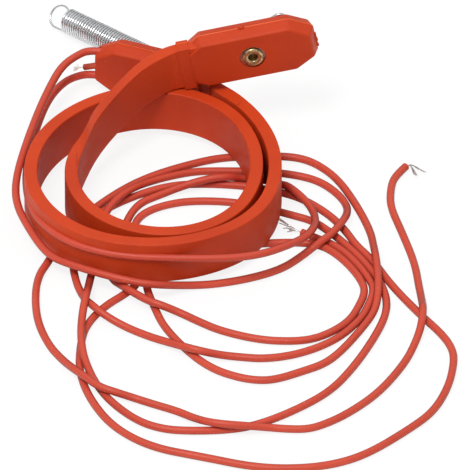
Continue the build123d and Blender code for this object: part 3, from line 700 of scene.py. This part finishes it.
along = Vector(springSizes["along"]).normalized()
across = Vector(springSizes["across"]).normalized()
springUp = across.cross(along)
wire = springSizes["wire"] / 1000
coil = springSizes["coil"] / 1000
loop = springSizes["loop"] / 1000
springParts = [
    turnedWire(
        "springBody", coil, wire, 360, springSizes["pitch"] / 1000, springSizes["turns"],
        placement(metres(springSizes["start"]), across, along),
    )
]
loopEnds = (
    (springSizes["nearLoop"], -along, 0.0),
    (springSizes["farLoop"], along, springSizes["farRoll"]),
)
for middle, outwards, roll in loopEnds:
    angle = math.radians(roll)
    side = across * math.cos(angle) + springUp * math.sin(angle)
    edgeWay = outwards.cross(side)
    middle = metres(middle)
    edge = middle + edgeWay * loop
    springParts.append(
        turnedWire(
            "springLoop", loop, wire, springSizes["loopSweep"], 0, 1,
            placement(middle, edgeWay, side),
        )
    )
    bodyEnd = edge - outwards * springSizes["reach"] / 1000
    springParts.append(straightWire("springLink", bodyEnd, edge, wire))
spring = joined("closingSpring", springParts)
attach(spring, "closing_spring")
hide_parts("spring")
wear(spring, "springWire")
print("spring wound")

# Rolled brass dome over the eyelet's rivet, in millimetres
dome = {
    "ring": 2.42, "thick": 0.95, "flat": 0.62, "height": 0.18, "front": (25.72, 11.057, 30.12),
}
bpy.ops.mesh.primitive_torus_add(
    major_segments=64, minor_segments=20,
    major_radius=dome["ring"] / 1000, minor_radius=dome["thick"] / 1000,
)
rolled = bpy.context.object
rolled.name = "eyeletRolledDome"
rolled.data.transform(Matrix.Diagonal((1, 1, dome["flat"], 1)))
domePlace = metres(dome["front"]) + headBack * dome["height"] / 1000
rolled.data.transform(placement(domePlace, headAlong, headBack))
bpy.ops.object.shade_smooth()
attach(rolled, "belt")
wear(rolled, "brass")

# Frayed glass fibres at the cut tail
tail = {"end": (-27.91, 36.71, 5.79), "way": (-0.853, 0.327, -0.407), "reach": 3.2}
tailFray = {"count": 26, "spread": 0.0011, "radius": 0.00007, "seed": 31}
tailWay = Vector(tail["way"]).normalized()
tailBends = [tailWay * tail["reach"] / 1000]
fibres = frayedEnd("coreFibres", metres(tail["end"]), tailWay, tailBends, tailFray)
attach(fibres, "belt")
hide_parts("core_fibres")
wear(fibres, "fibre")
print("dome and fibres added")

# Floor and light: the camera sees the floor glow, so that it is white like the photo's ground
room = {
    "size": 3.0, "below": -0.0001, "white": (0.92, 0.92, 0.92, 1), "matt": 0.9, "glow": 0.85,
    "sky": 1.0, "horizon": 0.22, "sun": 1.7, "sunAngle": 20.0, "sunTilt": 22, "sunRoll": -14,
}
bpy.ops.mesh.primitive_plane_add(size=room["size"], location=(0, 0, room["below"]))
floor = bpy.context.object
floor.name = "floor"
floorFinish = bpy.data.materials.new("white floor")
floorFinish.use_nodes = True
tree = floorFinish.node_tree
shader = tree.nodes["Principled BSDF"]
shader.inputs["Base Color"].default_value = room["white"]
shader.inputs["Roughness"].default_value = room["matt"]
shader.inputs["Specular IOR Level"].default_value = 0.0
glow = tree.nodes.new("ShaderNodeEmission")
rays = tree.nodes.new("ShaderNodeLightPath")
share = tree.nodes.new("ShaderNodeMath")
share.operation = "MULTIPLY"
share.inputs[1].default_value = room["glow"]
mixed = tree.nodes.new("ShaderNodeMixShader")
tree.links.new(rays.outputs["Is Camera Ray"], share.inputs[0])
tree.links.new(share.outputs[0], mixed.inputs["Fac"])
tree.links.new(shader.outputs[0], mixed.inputs[1])
tree.links.new(glow.outputs[0], mixed.inputs[2])
tree.links.new(mixed.outputs[0], tree.nodes["Material Output"].inputs["Surface"])
floor.data.materials.append(floorFinish)

# The camera sees a white sky; the light comes from a gradient that darkens to the horizon
world = bpy.data.worlds.new("studio")
bpy.context.scene.world = world
world.use_nodes = True
nodes = world.node_tree.nodes
links = world.node_tree.links
sky = nodes["Background"]
sky.inputs["Color"].default_value = (1, 1, 1, 1)
worldRays = nodes.new("ShaderNodeLightPath")
strength = nodes.new("ShaderNodeMapRange")
strength.inputs["To Max"].default_value = 1.0
height = nodes.new("ShaderNodeSeparateXYZ")
direction = nodes.new("ShaderNodeTexCoord")
shade = nodes.new("ShaderNodeMapRange")
shade.inputs["To Min"].default_value = room["horizon"]
shade.inputs["To Max"].default_value = room["sky"]
links.new(direction.outputs["Generated"], height.inputs["Vector"])
links.new(height.outputs["Z"], shade.inputs["Value"])
links.new(shade.outputs["Result"], strength.inputs["To Min"])
links.new(worldRays.outputs["Is Camera Ray"], strength.inputs["Value"])
links.new(strength.outputs["Result"], sky.inputs["Strength"])

sunTurn = (math.radians(room["sunTilt"]), math.radians(room["sunRoll"]), 0)
bpy.ops.object.light_add(type="SUN", rotation=sunTurn)
sun = bpy.context.object
sun.data.energy = room["sun"]
sun.data.angle = math.radians(room["sunAngle"])
print("room lit")

bpy.context.scene.view_settings.view_transform = "Standard"
